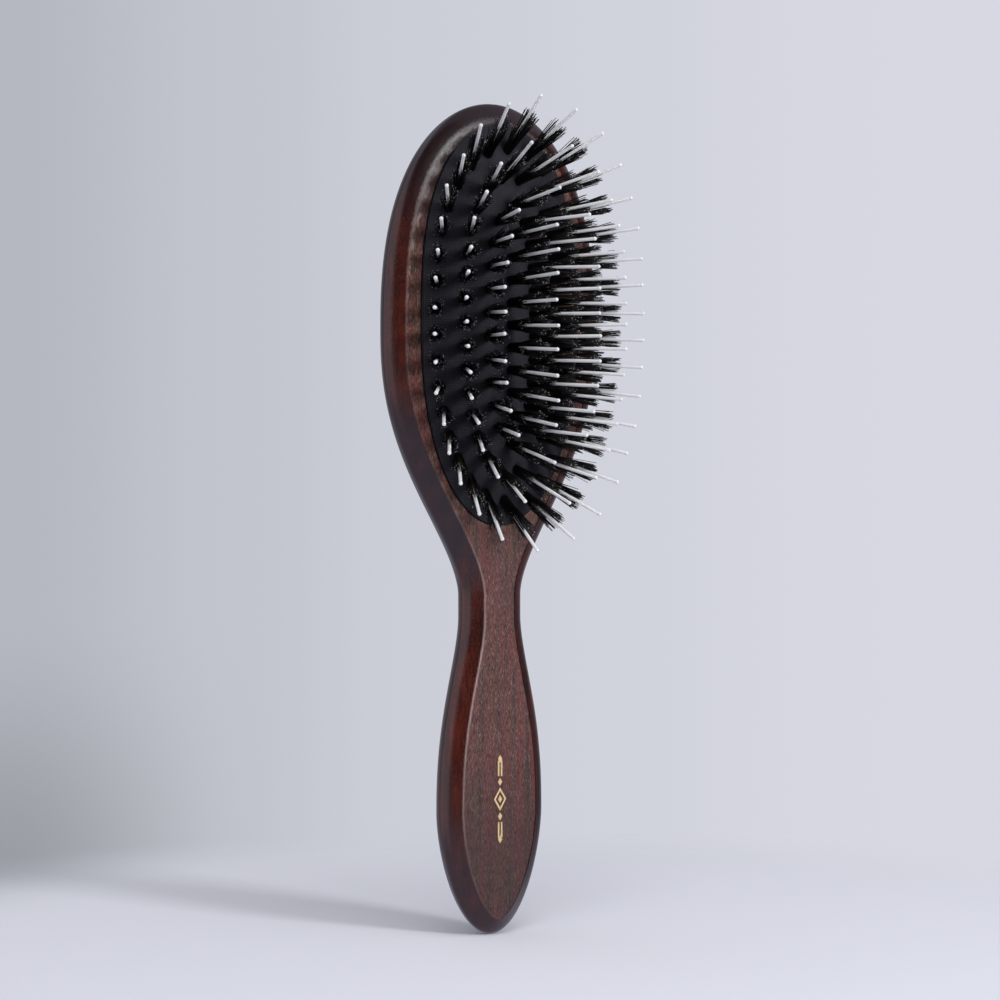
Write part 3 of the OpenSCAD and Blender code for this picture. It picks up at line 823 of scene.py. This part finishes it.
hair = {
    "perTuft": 104, "seed": 70, "margin": 0.12, "sharpAngle": 180,
    "radius": 0.125, "radiusUneven": (0.8, 1.15), "taper": [1, 1, 0.97, 0.85, 0.8], "cornerTurn": 6.28,
    "shortest": 0.74, "lengths": (3.2, 1.3), "tuftUneven": 0.03,  # lengths are the two powers of a beta spread
    "openSide": 52, "openOver": 14, "openSideUneven": 0.3, "openLen": 0.55, "openLenUneven": (0.75, 1.2),
    "steps": [0.0, 0.3, 0.62, 1.0],
    "spread": 1.9, "spreadUneven": (0.5, 1.1), "spreadPower": 1.3, "stray": 0.42,
    "clumps": 11, "clumpShare": 0.4, "clumpTurn": (0.1, 0.9), "clumpOut": (0.5, 1.15),
}
goldenTurn = 0.618034


# Each hair is a three-sided tube. It stands in the tuft round the pin at radius r0 and goes straight through the
# cushion. With v = height as a share of the tuft's and u = share of the hair's own length, it then opens as
# r0 * (1 + open * v^1.3), leans towards its clump by clumpShare * v^2 and bends by stray * u^2. On one side of
# the pin the hairs are short, so that the pin shows.
def makeTufts(k, material):
    origin, d, e1, e2, through = pinFrames(k)[:5]
    h = hair
    rng = np.random.default_rng(h["seed"] + k)
    n, m = len(origin), h["perTuft"]
    share = (np.arange(m)[None] + rng.uniform(0, 1, (n, m))) / m
    inner, outer = field["pinR"] + h["margin"], field["tuftR"] - h["margin"]
    r0 = np.sqrt(inner ** 2 + (outer ** 2 - inner ** 2) * share)
    turn = 2 * np.pi * ((np.arange(m)[None] * goldenTurn + rng.uniform(0, 1, (n, 1))) % 1)
    length = field["tuftLen"] * (h["shortest"] + (1 - h["shortest"]) * rng.beta(*h["lengths"], (n, m)))
    length *= 1 - h["tuftUneven"] * np.abs(rng.normal(0, 1, (n, 1)))
    fromSide = np.abs((turn + rng.normal(0, h["openSideUneven"], (n, 1)) + np.pi) % (2 * np.pi) - np.pi)
    covered = np.clip((np.degrees(fromSide) - h["openSide"]) / h["openOver"], 0, 1)
    length *= covered + (1 - covered) * h["openLen"] * rng.uniform(*h["openLenUneven"], (n, m))
    steps = np.array(h["steps"])
    root = -through[:, None] - field["rootLen"] + 0 * length
    far = np.concatenate([root[..., None], steps * length[..., None]], -1)
    u = np.concatenate([np.zeros((n, m, 1)), np.broadcast_to(steps, (n, m, len(steps)))], -1)
    opening = (field["tuftTipR"] / field["tuftR"] - 1) * h["spread"] * rng.uniform(*h["spreadUneven"], (n, m))
    tall = u * (length / field["tuftLen"])[..., None]
    radial = r0[..., None] * (1 + opening[..., None] * tall ** h["spreadPower"])
    bend = rng.normal(0, h["stray"], (2, n, m))
    across = radial * np.cos(turn)[..., None] + bend[0][..., None] * u ** 2
    up = radial * np.sin(turn)[..., None] + bend[1][..., None] * u ** 2
    # clumps: hairs with neighbouring angles lean together
    clumps = h["clumps"]
    member = np.minimum((turn / (2 * np.pi) * clumps).astype(int), clumps - 1)
    middle = 2 * np.pi * (np.arange(clumps)[None] + rng.uniform(*h["clumpTurn"], (n, clumps))) / clumps
    out = field["tuftTipR"] * rng.uniform(*h["clumpOut"], (n, clumps))
    clumpAcross = np.take_along_axis(out * np.cos(middle), member, 1)[..., None]
    clumpUp = np.take_along_axis(out * np.sin(middle), member, 1)[..., None]
    pull = h["clumpShare"] * tall ** 2
    across, up = across * (1 - pull) + clumpAcross * pull, up * (1 - pull) + clumpUp * pull
    centre = (origin[:, None, None] + far[..., None] * d[:, None, None]
              + across[..., None] * e1[:, None, None] + up[..., None] * e2[:, None, None])
    # the tube's rings, three corners each
    table = np.arange(len(h["taper"]) * 3).reshape(-1, 3)
    thick = h["radius"] * rng.uniform(*h["radiusUneven"], (n, m))[..., None] * np.array(h["taper"])
    corner = 2 * np.pi * np.arange(3) / 3 + rng.uniform(0, h["cornerTurn"], (n, m, 1))
    ring = np.cos(corner)[..., None] * e1[:, None, None] + np.sin(corner)[..., None] * e2[:, None, None]
    points = centre[..., None, :] + thick[..., None, None] * ring[:, :, None]
    tone = np.repeat(rng.uniform(0, 1, n * m), table.size)
    end = np.repeat(u.reshape(-1), 3)
    faces = [quadsOf(table, True), np.stack([table[0, ::-1], table[-1]])]
    piece = makeShell(ringNames[k] + "_bristles", points.reshape(-1, 3),
                      [repeated(part, n * m, table.size) for part in faces], h["sharpAngle"],
                      {"tone": tone, "end": end})
    setMaterial(piece, material)
    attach(piece, ringBodies[k])
    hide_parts(ringNames[k] + "_tufts")
    print(ringNames[k], "bristles:", n * m)


makeWoodenBody()
makeCushion()
nylon, bristle, brass = whiteNylon(), boarBristle(), brassWire()
for ringNumber, ringName in enumerate(ringNames):
    makePins(ringNumber, nylon)
    makeTufts(ringNumber, bristle)
    setMaterial(frame["nodes"][ringName + "_bindings"], brass)
setMaterial(frame["nodes"]["foil_ornament"], goldFoil())
setMaterial(frame["nodes"]["backing_sheet"], backingCloth())
print("pieces made")


# Floor, surroundings, lamps and camera, in metres

paper = {"colour": (0.78, 0.79, 0.86), "fadeFrom": 0.13, "fadeTo": 0.22, "radius": 0.32, "rings": 24, "spokes": 96}

# The pale sweep. Each pair says where something begins and where it is full, as the cosine of the angle from its
# azimuth, or from straight up for a height.
sweep = {
    "lightAzimuth": 52, "light": (-0.16, 0.16),  # it grows lighter towards this side
    "tones": [(0.05, (0.463, 0.479, 0.527)), (0.26, (0.541, 0.558, 0.610)), (0.42, (0.597, 0.617, 0.674)),
              (0.60, (0.631, 0.644, 0.712)), (0.80, (0.672, 0.680, 0.752)), (0.97, (0.680, 0.686, 0.765))],
    # painted shade and shadow of the brush in the sweep's low left corner
    "cornerShadow": 0.3, "cornerHeight": (-0.07, -0.15), "cornerSide": (-0.06, -0.15),
    "table": (0.630, 0.645, 0.715), "tableHeight": (-0.149, -0.166),
    "behindAzimuth": 142, "behind": (0.86, 0.965),  # behind the brush in the main view
    "pale": (0.655, 0.667, 0.738),                  # the plain tone behind it in all others
}

# What glossy surfaces mirror: cards laid over one another in this order. Each has its colour, and for every
# direction that bounds it the azimuth, the elevation, the two cosines as above, and its share.
mirrored = (0.34, 0.34, 0.40)
cards = {
    "bright": ((0.44, 0.44, 0.48), (40, 0, 0.8, 0.93, 1)),
    "rightDark": ((0.05, 0.04, 0.045), (77, 0, 0.86, 0.92, 1)),
    "overhead": ((0.95, 1.00, 1.20), (0, 90, 0.55, 0.92, 1), (-128, 0, 0.02, 0.42, 1)),
    "frontDark": ((0.03, 0.03, 0.03), (-18, 28, 0.745, 0.85, 1)),
    "belowDark": ((0, 0, 0), (0, 90, 0.0, -0.16, 0.85), (38, 0, 0.6, 0.85, 1)),
    "left": ((1.10, 0.90, 1.00), (-88, 0, 0.545, 0.69, 1)),
    "floorShine": ((0.55, 0.55, 0.70), (0, 90, -0.22, -0.42, 1)),
    "key": ((9.0, 9.0, 9.0), (15, 19, 0.91, 0.975, 1)),
}
fill = (0.4116, 0.4158, 0.441)  # the even light on matt surfaces

# azimuth, elevation, side of the square in metres, power in watts
lamps = {"keyLamp": (13, 17, 0.24, 8.5), "topLamp": (-20, 65, 0.6, 3.5), "fillLamp": (-50, 20, 0.8, 3)}
lampsAim, lampsAway = 0.13, 1.2  # the height that they point at, and how far from it they stand

view = {"azimuth": -38, "elevation": 2.3, "away": 0.9, "lens": 120.0, "target": (0, 4.85 * mm, 118.3 * mm)}


# Direction at an azimuth and an elevation in degrees: azimuth 0 is the -Y side, 90 the +X side
def bearing(azimuth, elevation):
    a, e = math.radians(azimuth), math.radians(elevation)
    return Vector((math.sin(a) * math.cos(e), -math.cos(a) * math.cos(e), math.sin(e)))


# Turns an object at a distance from the target, on a bearing, to look at it
def placeLooking(thing, target, azimuth, elevation, away):
    target = Vector(target)
    thing.location = target + bearing(azimuth, elevation) * away
    thing.rotation_euler = (target - thing.location).to_track_quat("-Z", "Y").to_euler()
    bpy.context.scene.collection.objects.link(thing)


# A flat disc of rings and spokes, whose paper fades to clear with the distance from its middle
def makeFloor():
    rings, spokes = paper["rings"], paper["spokes"]
    r = paper["radius"] * np.linspace(0, 1, rings + 1)[1:] / mm
    a = 2 * np.pi * np.arange(spokes) / spokes
    points = np.stack([r[:, None] * np.cos(a), r[:, None] * np.sin(a), np.zeros((rings, spokes))], -1)
    table = np.arange(rings * spokes).reshape(rings, spokes)
    floor = makePiece("floor", np.concatenate([points.reshape(-1, 3), [[0, 0, 0]]]),
                      [fanOf(table[0], table.size), quadsOf(table, True)[:, ::-1]])
    material, tree = newMaterial("paper_floor")
    coords = addNode(tree, "ShaderNodeTexCoord").outputs["Object"]
    far = addNode(tree, "ShaderNodeVectorMath", {"operation": "LENGTH"}, i0=coords).outputs["Value"]
    opaque = addNode(tree, "ShaderNodeBsdfDiffuse", Color=(*paper["colour"], 1))
    clear = addNode(tree, "ShaderNodeBsdfTransparent")
    mix = addNode(tree, "ShaderNodeMixShader", i0=smooth(tree, far, paper["fadeFrom"], paper["fadeTo"]),
                  i1=opaque.outputs[0], i2=clear.outputs[0])
    output = addNode(tree, "ShaderNodeOutputMaterial")
    tree.links.new(mix.outputs[0], output.inputs["Surface"])
    setMaterial(floor, material)
    floor.visible_glossy = False


# The surroundings. The camera, and rays that pass through the nylon, see a pale sweep, lighter to the right and
# with painted shade and shadow in its low left corner. Matt surfaces get an even soft light, and glossy ones
# mirror a studio of cards.
def makeWorld():
    world = bpy.data.worlds.new("studio")
    bpy.context.scene.world = world
    world.use_nodes = True
    tree = world.node_tree
    tree.nodes.clear()
    direction = addNode(tree, "ShaderNodeTexCoord").outputs["Generated"]

    def facing(azimuth, elevation=0.0):
        return addNode(tree, "ShaderNodeVectorMath", {"operation": "DOT_PRODUCT"},
                       i0=direction, i1=bearing(azimuth, elevation)).outputs["Value"]

    side, height = facing(sweep["lightAzimuth"]), facing(0, 90)
    across = addNode(tree, "ShaderNodeMapRange", i0=side, i1=sweep["light"][0], i2=sweep["light"][1]).outputs[0]
    seen = ramp(tree, across, sweep["tones"], "EASE")
    corner = product(tree, smooth(tree, height, *sweep["cornerHeight"], sweep["cornerShadow"]),
                     smooth(tree, side, *sweep["cornerSide"]))
    seen = mixColour(tree, corner, seen, (0, 0, 0))
    seen = mixColour(tree, smooth(tree, height, *sweep["tableHeight"]), seen, sweep["table"])
    behind = smooth(tree, facing(sweep["behindAzimuth"]), *sweep["behind"])
    seen = mixColour(tree, behind, sweep["pale"], seen)

    shine = mirrored
    for colour, *bounds in cards.values():
        held = [smooth(tree, facing(azimuth, elevation), *limits) for azimuth, elevation, *limits in bounds]
        shine = mixColour(tree, product(tree, *held), shine, colour)

    path = addNode(tree, "ShaderNodeLightPath").outputs
    light = mixColour(tree, path["Is Glossy Ray"], fill, shine)
    plain = maths(tree, "MAXIMUM", path["Is Camera Ray"], path["Is Transmission Ray"])
    background = addNode(tree, "ShaderNodeBackground", Color=mixColour(tree, plain, light, seen), Strength=1.0)
    output = addNode(tree, "ShaderNodeOutputWorld")
    tree.links.new(background.outputs[0], output.inputs["Surface"])


def makeLamp(name, azimuth, elevation, size, power):
    data = bpy.data.lights.new(name, "AREA")
    data.shape = "SQUARE"
    data.size, data.energy = size, power
    lamp = bpy.data.objects.new(name, data)
    placeLooking(lamp, (0, 0, lampsAim), azimuth, elevation, lampsAway)
    lamp.visible_glossy = False


def makeCamera():
    data = bpy.data.cameras.new("camera")
    data.sensor_width, data.lens = 36, view["lens"]
    data.clip_start, data.clip_end = 0.01, 20
    camera = bpy.data.objects.new("camera", data)
    placeLooking(camera, view["target"], view["azimuth"], view["elevation"], view["away"])
    bpy.context.scene.camera = camera


makeFloor()
makeWorld()
for lampName, values in lamps.items():
    makeLamp(lampName, *values)
makeCamera()
bpy.context.scene.view_settings.view_transform = "Standard"
print("stage ready")
